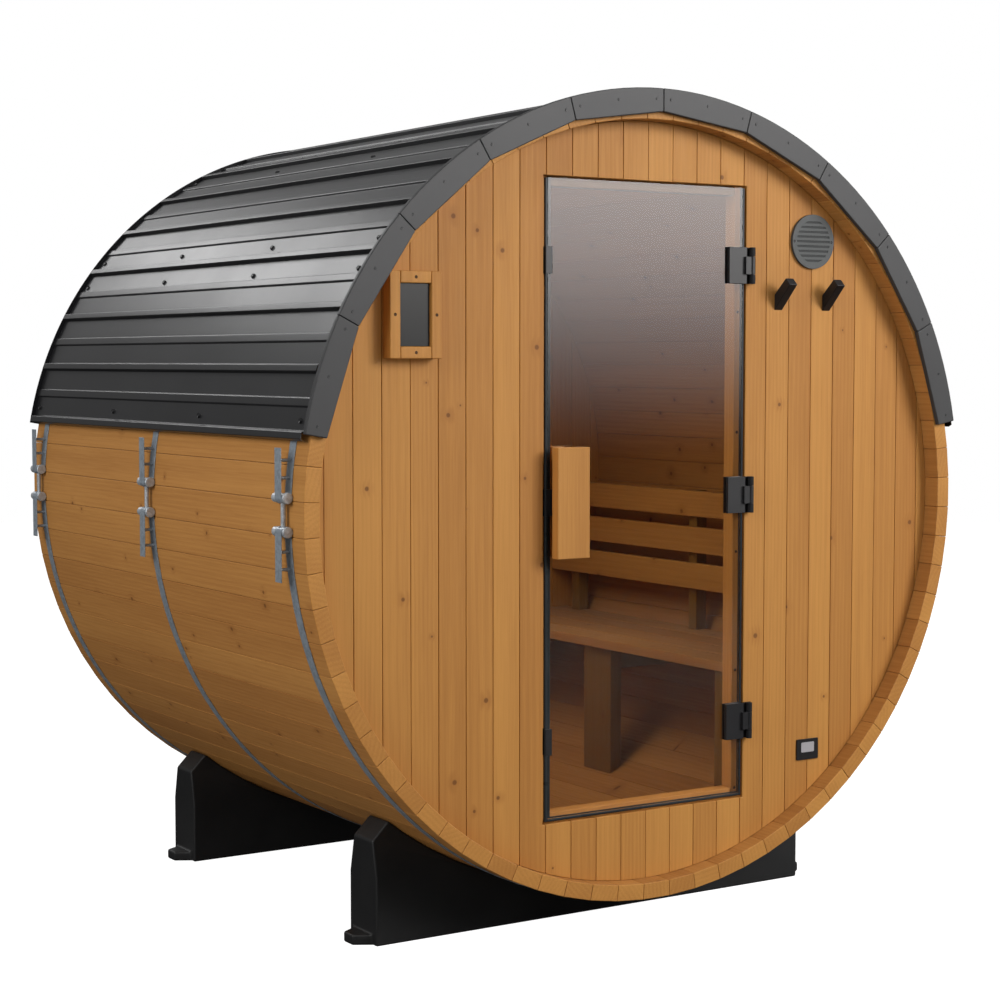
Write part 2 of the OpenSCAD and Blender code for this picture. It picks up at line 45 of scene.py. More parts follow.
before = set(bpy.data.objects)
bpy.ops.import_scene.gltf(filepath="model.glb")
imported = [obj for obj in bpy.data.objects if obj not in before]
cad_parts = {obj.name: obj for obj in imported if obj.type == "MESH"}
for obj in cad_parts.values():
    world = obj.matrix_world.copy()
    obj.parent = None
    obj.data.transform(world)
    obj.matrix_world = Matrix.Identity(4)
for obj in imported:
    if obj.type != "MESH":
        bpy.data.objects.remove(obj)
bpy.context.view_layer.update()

# Places taken from the frame, in metres
REAR_LOW, REAR_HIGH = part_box("rear_wall")
WALL_LOW, WALL_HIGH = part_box("front_wall_left")
STAVE_LOW, STAVE_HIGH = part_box("staves_left")
AXIS_Z = (REAR_LOW.z + REAR_HIGH.z) / 2
WALL_R = (REAR_HIGH.x - REAR_LOW.x) / 2
WALL_Y = WALL_LOW.y
DOOR_HALF = -WALL_HIGH.x
DOOR_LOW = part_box("front_wall_sill")[1].z
DOOR_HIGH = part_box("front_wall_header")[0].z
SHEET_RISE = 0.0021
SHEET_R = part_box("roof_battens")[1].z - AXIS_Z + SHEET_RISE
FRONT_ARCH_LOW, FRONT_ARCH_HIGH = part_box("front_fascia")
REAR_ARCH_LOW, REAR_ARCH_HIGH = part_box("rear_fascia")

CABIN = "cabin"
DOOR = "door"
MERGE = 1e-5
FLAT = math.radians(1)
SHARP = math.radians(34)
GRAIN_TURN = {"x": (0, math.pi / 2, 0), "y": (math.pi / 2, 0, 0), "z": (0, 0, 0)}
RIM_SEGMENTS = 240
STUD_TOP = 0.72
STUD_RIM = 0.3
STUD_DISH = 0.25
STUD_FACING = 0.9


# Settings


def length(name, text, default):
    return FloatProperty(name=name, description=text, default=default, unit="LENGTH", precision=4)


def colour(name, text, default):
    return FloatVectorProperty(
        name=name, description=text, default=default, size=3, subtype="COLOR", min=0, max=1
    )


def place(name, text, default):
    return FloatVectorProperty(
        name=name, description=text, default=default, size=3, subtype="TRANSLATION", unit="LENGTH"
    )


class SaunaSizes(PropertyGroup):
    wall_board: length("Wall board", "Width of a board in the end walls", 0.0788)
    board_edge: length("Board edge", "Rounding on the edges of wall boards and staves", 0.0022)
    trim_edge: length("Trim edge", "Rounding on stop strips, handles and bench boards", 0.0025)
    sheet_edge: length("Sheet edge", "Rounding on the bends of the roof sheets", 0.0016)
    metal_edge: length("Metal edge", "Rounding on hinges, hooks and plates", 0.0014)
    plastic_edge: length("Plastic edge", "Rounding on the cradles", 0.006)
    roof_screw: length("Roof screw", "Radius of a roofing screw's head", 0.0075)
    small_screw: length("Small screw", "Radius of a wood screw's head", 0.0042)
    badge_width: length("Badge width", "Width of the plain plate on the front wall", 0.076)
    badge_height: length("Badge height", "Height of the plain plate on the front wall", 0.057)
    roof_edge: FloatProperty(
        name="Roof edge", description="Angle of the roof's lower edges", default=math.radians(10.2),
        subtype="ANGLE",
    )


class SaunaColours(PropertyGroup):
    # The staves' colours are the wood's grain darkened with painted shade, as on their shaded sides.
    shaded_barrel_pale: colour("Shaded barrel pale", "Pale grain of the staves", (0.50, 0.238, 0.064))
    shaded_barrel_dark: colour("Shaded barrel dark", "Dark grain of the staves", (0.33, 0.137, 0.035))
    wall_light: colour("Wall light", "Pale grain of the end walls", (0.57, 0.268, 0.064))
    wall_dark: colour("Wall dark", "Dark grain of the end walls", (0.39, 0.163, 0.037))
    bench_light: colour("Bench light", "Pale grain of the bench", (0.47, 0.238, 0.066))
    bench_dark: colour("Bench dark", "Dark grain of the bench", (0.325, 0.144, 0.038))
    leg_light: colour("Leg light", "Pale grain of the bench's legs and posts", (0.255, 0.140, 0.032))
    leg_dark: colour("Leg dark", "Dark grain of the bench's legs and posts", (0.176, 0.085, 0.018))
    knot: colour("Knot", "Heart of a knot", (0.150, 0.056, 0.016))
    roof: colour("Roof", "Painted roof sheet", (0.016, 0.016, 0.017))
    fascia: colour("Fascia", "Painted fascia board", (0.040, 0.040, 0.041))
    steel: colour("Steel", "Galvanised tensioner", (0.52, 0.55, 0.58))
    band: colour("Band", "Galvanised band", (0.36, 0.41, 0.46))
    black: colour("Black", "Black coated metal", (0.010, 0.010, 0.011))
    seal: colour("Seal", "Dark seal of the door", (0.020, 0.023, 0.025))
    plastic: colour("Plastic", "Moulded cradle", (0.0095, 0.0095, 0.0098))
    vent: colour("Vent", "Vent grille", (0.045, 0.048, 0.048))
    # Painted shade: the plate behind the vent's slots is darker than the vent, so that the slots read as
    # shaded.
    vent_slot_shade: colour("Vent slot", "Plate behind the slots of the vent", (0.026, 0.028, 0.028))
    screw: colour("Screw", "Brown wood screw", (0.050, 0.024, 0.010))
    # Painted shade: the strip above the door gets a darker copy of the wall wood, so it stays dark though the
    # key light reaches it.
    head_shade_pale: colour("Head shade pale", "Pale grain of the strip above the door", (0.130, 0.062, 0.022))
    head_shade_dark: colour("Head shade dark", "Dark grain of the strip above the door", (0.085, 0.038, 0.013))
    glass: colour("Glass", "Tint of the door's glass", (0.80, 0.76, 0.71))
    panel: colour("Panel", "Dark glass of the panel box", (0.013, 0.0135, 0.0135))
    badge: colour("Badge", "Pale face of the plain plate", (0.36, 0.35, 0.37))


class SaunaStudio(PropertyGroup):
    camera_place: place("Camera", "Where the camera stands", (-3.3164, -5.2760, 1.4829))
    camera_turn: FloatVectorProperty(
        name="Camera turn", description="Direction of the camera", size=3, subtype="EULER",
        default=(math.radians(86.267), 0, math.radians(-32.735)),
    )
    lens: FloatProperty(name="Lens", description="Focal length", default=77.13, unit="CAMERA")
    key_power: FloatProperty(name="Key", description="Power of the front light", default=420, unit="POWER")
    fill_power: FloatProperty(name="Fill", description="Power of the left light", default=245, unit="POWER")
    back_power: FloatProperty(name="Back", description="Power of the rear light", default=96, unit="POWER")
    room_power: FloatProperty(name="Room", description="Power of the light inside", default=7.0, unit="POWER")
    sky: FloatProperty(name="Sky", description="Strength of the even light", default=0.27, subtype="FACTOR")


class SaunaSettings(PropertyGroup):
    sizes: PointerProperty(type=SaunaSizes, name="Sizes", description="Sizes of boards and fittings")
    colours: PointerProperty(type=SaunaColours, name="Colours", description="Colours of the finishes")
    studio: PointerProperty(type=SaunaStudio, name="Studio", description="Camera and lights")


def settings():
    return bpy.context.scene.barrel_sauna


# Mesh helpers


def node_copy(node):
    """A shape made from a frame node, with its doubles merged and flat faces joined."""
    bm = bmesh.new()
    bm.from_mesh(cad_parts[node].data)
    bmesh.ops.remove_doubles(bm, verts=bm.verts, dist=MERGE)
    bmesh.ops.dissolve_limit(bm, angle_limit=FLAT, verts=bm.verts, edges=bm.edges)
    return bm


def round_edges(bm, width, segments=2, least_angle=SHARP, keep=None):
    """Bevels the edges that turn more than least_angle, or those of them that keep picks."""
    edges = [
        edge for edge in bm.edges
        if len(edge.link_faces) == 2 and edge.calc_face_angle(0) > least_angle
        and (keep is None or keep(edge))
    ]
    bmesh.ops.bevel(
        bm, geom=edges, offset=width, offset_type="OFFSET", segments=segments, profile=0.5,
        affect="EDGES", clamp_overlap=True, material=-1,
    )


def islands(bm):
    """The faces of each separate solid in a shape."""
    found = []
    left = set(bm.faces)
    while left:
        start = left.pop()
        group, waiting = [start], [start]
        while waiting:
            for edge in waiting.pop().edges:
                for face in edge.link_faces:
                    if face in left:
                        left.discard(face)
                        group.append(face)
                        waiting.append(face)
        found.append(group)
    found.sort(key=lambda faces: tuple(round(x, 4) for x in min(f.calc_center_median()[:] for f in faces)))
    return found


def mark_boards(bm, seed):
    """Gives each separate board a number of its own, which its grain and tone follow."""
    layer = bm.faces.layers.float.get("board") or bm.faces.layers.float.new("board")
    draw = random.Random(seed)
    for group in islands(bm):
        value = draw.random()
        for face in group:
            face[layer] = value


def add_piece(name, bm, material, body, nodes=()):
    """Makes a piece from a shape, lets it ride on its body and stand for its frame nodes."""
    mesh = bpy.data.meshes.new(name)
    bm.to_mesh(mesh)
    bm.free()
    mesh.materials.append(material)
    mesh.shade_smooth()
    mesh.set_sharp_from_angle(angle=SHARP)
    piece = bpy.data.objects.new(name, mesh)
    bpy.context.scene.collection.objects.link(piece)
    flat = piece.modifiers.new("flat_faces", "WEIGHTED_NORMAL")
    flat.keep_sharp = True
    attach(piece, body)
    if nodes:
        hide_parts(*nodes)
    return piece


def dress(node, width, material, body=CABIN, seed=None, segments=2):
    """A rounded copy of a frame node that stands for it."""
    bm = node_copy(node)
    round_edges(bm, width, segments)
    if seed is not None:
        mark_boards(bm, seed)
    return add_piece(f"{node}_rounded", bm, material, body, [node])


def add_studs(name, places, radius, height, material, body=CABIN, sides=12):
    """Makes one piece of fastener heads, each at a point and along an outward direction."""
    bm = bmesh.new()
    for at, normal in places:
        add_stud(bm, at, normal, radius, height, sides)
    return add_piece(name, bm, material, body)


def add_stud(bm, at, normal, radius, height, sides):
    """Adds one domed fastener head that stands on a point of a surface."""
    turn = Vector(normal).to_track_quat("Z", "Y").to_matrix().to_4x4()
    matrix = Matrix.Translation(Vector(at)) @ turn
    made = bmesh.ops.create_cone(
        bm, cap_ends=True, segments=sides, radius1=radius, radius2=radius * STUD_TOP, depth=height,
        matrix=matrix @ Matrix.Translation((0, 0, height / 2)),
    )
    tops = [
        face for face in {f for v in made["verts"] for f in v.link_faces}
        if len(face.verts) == sides and face.normal.dot(turn.to_3x3() @ Vector((0, 0, 1))) > STUD_FACING
    ]
    bmesh.ops.inset_region(bm, faces=tops, thickness=radius * STUD_RIM, depth=-height * STUD_DISH)


def add_block(bm, middle, size):
    """Adds one block by its middle and its three sizes."""
    matrix = Matrix.Translation(middle) @ Matrix.Diagonal((*size, 1))
    bmesh.ops.create_cube(bm, size=1, matrix=matrix)


# Node helpers


class Nodes:
    """Adds nodes to one node tree in few words."""

    def __init__(self, tree):
        self.tree = tree

    def put(self, socket, value):
        if isinstance(value, bpy.types.NodeSocket):
            self.tree.links.new(value, socket)
        else:
            socket.default_value = value

    def new(self, kind, inputs=None, **choices):
        node = self.tree.nodes.new(kind)
        for name, value in choices.items():
            setattr(node, name, value)
        for key, value in (inputs or {}).items():
            self.put(node.inputs[key], value)
        return node

    def math(self, operation, *values):
        node = self.new("ShaderNodeMath", operation=operation)
        for socket, value in zip(node.inputs, values):
            self.put(socket, value)
        return node.outputs[0]

    def scaled(self, vector, amounts):
        node = self.new("ShaderNodeVectorMath", operation="MULTIPLY")
        self.put(node.inputs[0], vector)
        self.put(node.inputs[1], amounts)
        return node.outputs[0]

    def shifted(self, vector, by):
        node = self.new("ShaderNodeVectorMath", operation="ADD")
        self.put(node.inputs[0], vector)
        self.put(node.inputs[1], by)
        return node.outputs[0]

    def noise(self, vector, scale=1.0, detail=2.0, roughness=0.5):
        inputs = {"Vector": vector, "Scale": scale, "Detail": detail, "Roughness": roughness}
        return self.new("ShaderNodeTexNoise", inputs).outputs["Fac"]

    def span(self, value, low, high, to_low=0.0, to_high=1.0):
        inputs = {"Value": value, "From Min": low, "From Max": high, "To Min": to_low, "To Max": to_high}
        return self.new("ShaderNodeMapRange", inputs, interpolation_type="SMOOTHSTEP").outputs[0]

    def mix(self, factor, first, second):
        node = self.new("ShaderNodeMix", data_type="RGBA")
        self.put(node.inputs[0], factor)
        self.put(node.inputs[6], first)
        self.put(node.inputs[7], second)
        return node.outputs[2]


def shader_group(name, inputs, outputs):
    """A new shader node group: its Nodes, the sockets given to it and its output node."""
    group = bpy.data.node_groups.new(name, "ShaderNodeTree")
    for label, kind in inputs:
        group.interface.new_socket(label, in_out="INPUT", socket_type=kind)
    for label, kind in outputs:
        group.interface.new_socket(label, in_out="OUTPUT", socket_type=kind)
    nodes = Nodes(group)
    given = nodes.new("NodeGroupInput").outputs
    result = nodes.new("NodeGroupOutput").inputs
    return group, nodes, given, result


VALUE = "NodeSocketFloat"
COLOUR = "NodeSocketColor"
VECTOR = "NodeSocketVector"


BOARD_DRAW = 91.7
KNOTS_ACROSS = 11.0
KNOTS_ALONG = 3.6
RING_PITCH = 0.012


def board_grain():
    """Sawn softwood with its grain along Z: rings, fibres, broad tone, knots and a tint per board."""
    found = bpy.data.node_groups.get("Board grain")
    if found:
        return found
    group, n, given, result = shader_group(
        "Board grain",
        [("Place", VECTOR), ("Board", VALUE), ("Light", COLOUR), ("Dark", COLOUR), ("Knot", COLOUR),
         ("Tint", VALUE), ("Knots", VALUE)],
        [("Color", COLOUR), ("Roughness", VALUE), ("Height", VALUE)],
    )
    number = n.math("MULTIPLY", given["Board"], BOARD_DRAW)
    draw = n.new("ShaderNodeTexWhiteNoise", {"W": number}, noise_dimensions="1D")
    spot = n.shifted(given["Place"], n.scaled(draw.outputs["Color"], (7.0, 7.0, 7.0)))
    parts = n.new("ShaderNodeSeparateXYZ", {"Vector": spot}).outputs
    across = n.math("ADD", parts["X"], parts["Y"])
    flat = n.new("ShaderNodeCombineXYZ", {"X": across, "Y": parts["Z"]}).outputs[0]
    flat = n.scaled(flat, (KNOTS_ACROSS, KNOTS_ALONG, 0.0))
    cells = n.new("ShaderNodeTexVoronoi", {"Vector": flat, "Scale": 1.0}, voronoi_dimensions="2D").outputs
    away = n.shifted(cells["Position"], n.scaled(flat, (-1.0, -1.0, 0.0)))
    away = n.scaled(away, (1 / KNOTS_ACROSS, 1 / KNOTS_ALONG, 0.0))
    distance = n.new("ShaderNodeVectorMath", {0: away}, operation="LENGTH").outputs["Value"]
    draws = n.new("ShaderNodeSeparateColor", {"Color": cells["Color"]}).outputs
    distance = n.math("DIVIDE", distance, n.span(draws[0], 0.0, 1.0, 0.45, 1.25))
    kept = n.math("MULTIPLY", given["Knots"], n.span(draws[1], 0.52, 0.54))
    knot = n.math("MULTIPLY", kept, n.span(distance, 0.0072, 0.0036))
    ring_round_knot = n.math("MULTIPLY", kept, n.span(distance, 0.030, 0.004))
    broad = n.noise(n.scaled(spot, (9.0, 9.0, 0.9)))
    fibre = n.noise(n.scaled(spot, (230.0, 230.0, 6.0)), detail=3.0, roughness=0.6)
    sway = n.noise(n.scaled(spot, (5.0, 5.0, 1.0)))
    heading = n.math("MULTIPLY", draw.outputs["Value"], 2 * math.pi)
    along = n.math("MULTIPLY", parts["X"], n.math("COSINE", heading))
    along = n.math("ADD", along, n.math("MULTIPLY", parts["Y"], n.math("SINE", heading)))
    along = n.math("ADD", along, n.math("MULTIPLY", sway, 0.022))
    along = n.math("ADD", along, n.math("MULTIPLY", ring_round_knot, 0.007))
    ring = n.math("SINE", n.math("MULTIPLY", along, 2 * math.pi / RING_PITCH))
    tone = n.math("MULTIPLY", ring, 0.055)
    tone = n.math("ADD", tone, n.math("MULTIPLY", fibre, 0.50))
    tone = n.math("ADD", tone, n.math("MULTIPLY", broad, 0.55))
    lean = n.math("SUBTRACT", draw.outputs["Value"], 0.5)
    tone = n.math("ADD", tone, n.math("MULTIPLY", lean, given["Tint"]))
    tone = n.math("SUBTRACT", tone, n.math("MULTIPLY", ring_round_knot, 0.22))
    wood = n.mix(n.span(tone, 0.05, 1.0), given["Dark"], given["Light"])
    n.put(result["Color"], n.mix(n.math("MULTIPLY", knot, 0.80), wood, given["Knot"]))
    n.put(result["Roughness"], n.span(fibre, 0.2, 0.8, 0.62, 0.46))
    n.put(result["Height"], n.math("ADD", n.math("MULTIPLY", ring, 0.25), fibre))
    return group


def coat_mottle():
    """Slight clouding and fine grain of a painted or moulded surface."""
    found = bpy.data.node_groups.get("Coat mottle")
    if found:
        return found
    group, n, given, result = shader_group(
        "Coat mottle",
        [("Place", VECTOR), ("Colour", COLOUR), ("Pale", COLOUR), ("Dull", VALUE), ("Grain", VALUE)],
        [("Color", COLOUR), ("Roughness", VALUE), ("Height", VALUE)],
    )
    cloud = n.noise(given["Place"], 3.5, 4.0, 0.6)
    speck = n.noise(given["Place"], given["Grain"], 2.0)
    blend = n.math("ADD", n.math("MULTIPLY", cloud, 0.75), n.math("MULTIPLY", speck, 0.25))
    n.put(result["Color"], n.mix(n.span(blend, 0.35, 0.75), given["Colour"], given["Pale"]))
    n.put(result["Roughness"], n.math("ADD", given["Dull"], n.math("MULTIPLY", cloud, 0.12)))
    n.put(result["Height"], speck)
    return group


def blank_material(name):
    """A new material with only its shader: the material, its Nodes and the shader."""
    material = bpy.data.materials.new(name)
    material.use_nodes = True
    shader = material.node_tree.nodes["Principled BSDF"]
    return material, Nodes(material.node_tree), shader


def bump(n, shader, height, strength, depth):
    node = n.new("ShaderNodeBump", {"Height": height, "Strength": strength, "Distance": depth})
    n.put(shader.inputs["Normal"], node.outputs[0])


def wood(name, light, dark, grain, tint=0.55, knots=1.0):
    """Stained softwood with its grain along one axis."""
    found = bpy.data.materials.get(name)
    if found:
        return found
    material, n, shader = blank_material(name)
    spot = n.new("ShaderNodeTexCoord").outputs["Object"]
    turned = n.new("ShaderNodeMapping", {"Vector": spot, "Rotation": GRAIN_TURN[grain]}).outputs[0]
    board = n.new("ShaderNodeAttribute", attribute_name="board").outputs["Fac"]
    inputs = {
        "Place": turned, "Board": board, "Light": (*light, 1), "Dark": (*dark, 1),
        "Knot": (*settings().colours.knot, 1), "Tint": tint, "Knots": knots,
    }
    grain_node = n.new("ShaderNodeGroup", node_tree=board_grain())
    for key, value in inputs.items():
        n.put(grain_node.inputs[key], value)
    n.put(shader.inputs["Base Color"], grain_node.outputs["Color"])
    n.put(shader.inputs["Roughness"], grain_node.outputs["Roughness"])
    shader.inputs["Specular IOR Level"].default_value = 0.12
    bump(n, shader, grain_node.outputs["Height"], 0.25, 0.0008)
    return material


def coated(name, base, dull, grain, metallic=0.0, relief=0.00015, pale=1.6, gloss=0.5):
    """Painted, coated or moulded surface in one colour."""
    found = bpy.data.materials.get(name)
    if found:
        return found
    material, n, shader = blank_material(name)
    spot = n.new("ShaderNodeTexCoord").outputs["Object"]
    coat = n.new("ShaderNodeGroup", node_tree=coat_mottle())
    inputs = {
        "Place": spot, "Colour": (*base, 1), "Pale": (*(min(1, x * pale) for x in base), 1),
        "Dull": dull, "Grain": grain,
    }
    for key, value in inputs.items():
        n.put(coat.inputs[key], value)
    n.put(shader.inputs["Base Color"], coat.outputs["Color"])
    n.put(shader.inputs["Roughness"], coat.outputs["Roughness"])
    shader.inputs["Metallic"].default_value = metallic
    shader.inputs["Specular IOR Level"].default_value = gloss
    bump(n, shader, coat.outputs["Height"], 0.3, relief)
    return material


def galvanised(name, base):
    """Zinc-coated steel with its spangle."""
    found = bpy.data.materials.get(name)
    if found:
        return found
    material, n, shader = blank_material(name)
    spot = n.new("ShaderNodeTexCoord").outputs["Object"]
    cells = n.new("ShaderNodeTexVoronoi", {"Vector": spot, "Scale": 160.0})
    shade = n.new("ShaderNodeSeparateColor", {"Color": cells.outputs["Color"]}).outputs[0]
    dark = [x * 0.72 for x in base]
    n.put(shader.inputs["Base Color"], n.mix(shade, (*dark, 1), (*base, 1)))
    n.put(shader.inputs["Roughness"], n.span(shade, 0.0, 1.0, 0.32, 0.46))
    shader.inputs["Metallic"].default_value = 0.45
    return material


def clear_glass(name):
    """Smoked door glass."""
    found = bpy.data.materials.get(name)
    if found:
        return found
    material, n, shader = blank_material(name)
    spot = n.new("ShaderNodeTexCoord").outputs["Object"]
    cloud = n.noise(spot, 2.0)
    tint = settings().colours.glass
    n.put(shader.inputs["Base Color"], n.mix(cloud, (*(x * 0.96 for x in tint), 1), (*tint, 1)))
    shader.inputs["Transmission Weight"].default_value = 1.0
    shader.inputs["Roughness"].default_value = 0.0
    shader.inputs["IOR"].default_value = 1.5
    return material


# Stave wood whose colours carry painted shade.
def shaded_barrel_wood():
    return wood("Shaded barrel wood", settings().colours.shaded_barrel_pale, settings().colours.shaded_barrel_dark, "y", 0.3)


# The end walls' wood for the staves' end faces, without the staves' painted shade.
def stave_end_wood():
    return wood("Stave end wood", settings().colours.wall_light, settings().colours.wall_dark, "y", 0.3, 0.0)


def wall_wood():
    return wood("Wall wood", settings().colours.wall_light, settings().colours.wall_dark, "z", 0.4)


def upright_wood():
    return wood("Upright wood", settings().colours.wall_light, settings().colours.wall_dark, "z", 0.3)


def cross_wood():
    return wood("Cross wood", settings().colours.wall_light, settings().colours.wall_dark, "x", 0.3)


# Wall wood darkened with painted shade, for the strip above the door.
def head_shade_wood():
    return wood("Head shade wood", settings().colours.head_shade_pale, settings().colours.head_shade_dark, "x", 0.3)


def bench_wood():
    return wood("Bench wood", settings().colours.bench_light, settings().colours.bench_dark, "y", 0.4)


def leg_wood():
    return wood("Leg wood", settings().colours.leg_light, settings().colours.leg_dark, "z", 0.4)


def black_metal():
    return coated("Black metal", settings().colours.black, 0.32, 900.0, gloss=0.3)


def matt_metal():
    return coated("Matt black metal", settings().colours.black, 0.55, 900.0, gloss=0.12)


# Operators


END_FACE = 0.5
TONGUE_IN = 0.014
TONGUE_END = 0.020
TONGUE_THICK = 0.001


class SAUNA_OT_staves(Operator):
    """Rounds the staves, gives each its own grain and closes their seams"""

    bl_idname = "sauna.staves"
    bl_label = "Staves"

    def execute(self, context):
        width = settings().sizes.board_edge
        for seed, side in enumerate(("bottom", "left", "right", "top")):
            piece = dress(f"staves_{side}", width, shaded_barrel_wood(), seed=seed + 1)
            self.mark_ends(piece.data)
        self.tongues()
        return {"FINISHED"}

    def mark_ends(self, mesh):
        """Gives the staves' end faces the paler wood of the end walls, without the painted shade that darkens
        the staves' own colour.
        """
        mesh.materials.append(stave_end_wood())
        for face in mesh.polygons:
            if abs(face.normal.y) > END_FACE:
                face.material_index = 1

    def tongues(self):
        """A thin ring inside the staves for their tongues, which closes the seams to light."""
        long = STAVE_HIGH.y - STAVE_LOW.y - 2 * TONGUE_END
        turn = Matrix.Translation((0, 0, AXIS_Z)) @ Matrix.Rotation(math.pi / 2, 4, "X")
        bm = bmesh.new()
        bmesh.ops.create_cone(
            bm, cap_ends=False, segments=RIM_SEGMENTS, radius1=-STAVE_LOW.x - TONGUE_IN,
            radius2=-STAVE_LOW.x - TONGUE_IN, depth=long, matrix=turn,
        )
        bmesh.ops.solidify(bm, geom=bm.faces[:], thickness=TONGUE_THICK)
        bmesh.ops.recalc_face_normals(bm, faces=bm.faces)
        add_piece("stave_tongues", bm, shaded_barrel_wood(), CABIN)


def split(bm, point, normal, outer=False):
    """Cuts a shape at a plane, and drops the outer side if asked."""
    bmesh.ops.bisect_plane(
        bm, geom=bm.verts[:] + bm.edges[:] + bm.faces[:], dist=MERGE, plane_co=point, plane_no=normal,
        clear_outer=outer,
    )


def in_doorway(face):
    spot = face.calc_center_median()
    return abs(spot.x) < DOOR_HALF and DOOR_LOW < spot.z < DOOR_HIGH


def wall_board(bm, x_low, x_high, y, depth, doorway, edge=0):
    """Adds one upright board, cut to the round wall and round the doorway if there is one."""
    board = bmesh.new()
    turn = Matrix.Translation((0, y, AXIS_Z)) @ Matrix.Rotation(math.pi / 2, 4, "X")
    bmesh.ops.create_circle(board, cap_ends=True, segments=RIM_SEGMENTS, radius=WALL_R, matrix=turn)
    split(board, (x_low, 0, 0), (-1, 0, 0), outer=True)
    split(board, (x_high, 0, 0), (1, 0, 0), outer=True)
    if doorway:
        for x in (-DOOR_HALF, DOOR_HALF):
            split(board, (x, 0, 0), (1, 0, 0))
        for z in (DOOR_LOW, DOOR_HIGH):
            split(board, (0, 0, z), (0, 0, 1))
        bmesh.ops.delete(board, geom=[face for face in board.faces if in_doorway(face)], context="FACES")
        bmesh.ops.dissolve_limit(board, angle_limit=FLAT / 100, verts=board.verts, edges=board.edges)
    if not board.faces:
        raise RuntimeError("a wall board lies outside the wall")
    made = bmesh.ops.extrude_face_region(board, geom=board.faces[:])
    moved = [part for part in made["geom"] if isinstance(part, bmesh.types.BMVert)]
    bmesh.ops.translate(board, verts=moved, vec=(0, depth, 0))
    bmesh.ops.recalc_face_normals(board, faces=board.faces)
    if edge:
        round_edges(board, edge)
    mesh = bpy.data.meshes.new("board")
    board.to_mesh(mesh)
    board.free()
    bm.from_mesh(mesh)
    bpy.data.meshes.remove(mesh)


BOARD_GAP = 0.0012
WALL_TONGUE = 0.010
FRONT_WALL = ("front_wall_left", "front_wall_right", "front_wall_header", "front_wall_sill")


class SAUNA_OT_walls(Operator):
    """Makes both end walls of upright boards, counted from the middle"""

    bl_idname = "sauna.walls"
    bl_label = "End walls"

    def execute(self, context):
        depth = WALL_HIGH.y - WALL_LOW.y
        pitch = settings().sizes.wall_board
        count = math.ceil(WALL_R / pitch)
        walls = (("front", WALL_Y, True, FRONT_WALL), ("rear", REAR_LOW.y, False, ("rear_wall",)))
        for seed, (end, y, doorway, nodes) in enumerate(walls):
            bm = bmesh.new()
            for i in range(-count, count):
                low = i * pitch + BOARD_GAP / 2
                wall_board(bm, low, low + pitch - BOARD_GAP, y, depth, doorway, settings().sizes.board_edge)
            mark_boards(bm, 20 + seed)
            add_piece(f"{end}_wall_boards", bm, wall_wood(), CABIN, nodes)
            bm = bmesh.new()
            for i in range(1 - count, count):
                low = i * pitch - BOARD_GAP / 2
                wall_board(bm, low, low + BOARD_GAP, y + (depth - WALL_TONGUE) / 2, WALL_TONGUE, doorway)
            mark_boards(bm, 22 + seed)
            add_piece(f"{end}_wall_tongues", bm, wall_wood(), CABIN)
        return {"FINISHED"}


BORDER_IN = 0.0005
BORDER_BACK = 0.001
BORDER_THICK = 0.0008
BORDER_FREE = 0.010
BORDER_HUNG = 0.004
BORDER_FOOT = 0.004


class SAUNA_OT_door(Operator):
    """Finishes the glass, its seal and border, the handles and the stop strips"""

    bl_idname = "sauna.door"
    bl_label = "Door"

    def execute(self, context):
        sizes = settings().sizes
        for side in ("left", "right"):
            dress(f"door_stop_{side}", sizes.trim_edge, upright_wood(), seed=40)
        dress("door_stop_sill", sizes.trim_edge, cross_wood(), seed=41)
        # The head strip's darker wood is painted shade.
        dress("door_stop_head", sizes.trim_edge, head_shade_wood(), seed=41)
        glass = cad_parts["door_glass"]
        glass.data.materials.clear()
        glass.data.materials.append(clear_glass("Door glass"))
        glass.visible_shadow = False
        rubber = coated("Seal rubber", settings().colours.seal, 0.22, 1500.0, relief=0.0, gloss=0.15)
        dress("door_seal", sizes.metal_edge, rubber, DOOR)
        self.border(rubber)
        for seed, side in enumerate(("outer", "inner")):
            dress(f"door_handle_{side}", sizes.trim_edge, upright_wood(), DOOR, seed=42 + seed)
        dress("handle_posts", sizes.metal_edge, black_metal(), DOOR)
        return {"FINISHED"}

    def border(self, material):
        """Black strips inside the back of the glass along its two sides and its foot."""
        low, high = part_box("door_glass")
        back = high.y - BORDER_BACK
        middle = (low.z + high.z) / 2
        free, hung = low.x + BORDER_IN, high.x - BORDER_IN
        tall = high.z - low.z - 2 * BORDER_IN
        bm = bmesh.new()
        add_block(bm, (free + BORDER_FREE / 2, back, middle), (BORDER_FREE, BORDER_THICK, tall))
        add_block(bm, (hung - BORDER_HUNG / 2, back, middle), (BORDER_HUNG, BORDER_THICK, tall))
        start, end = free + BORDER_FREE, hung - BORDER_HUNG
        foot = low.z + BORDER_IN + BORDER_FOOT / 2
        add_block(bm, ((start + end) / 2, back, foot), (end - start, BORDER_THICK, BORDER_FOOT))
        add_piece("glass_border", bm, material, DOOR)


PLATE_WIDE = 0.020
PLATE_THICK = 0.003


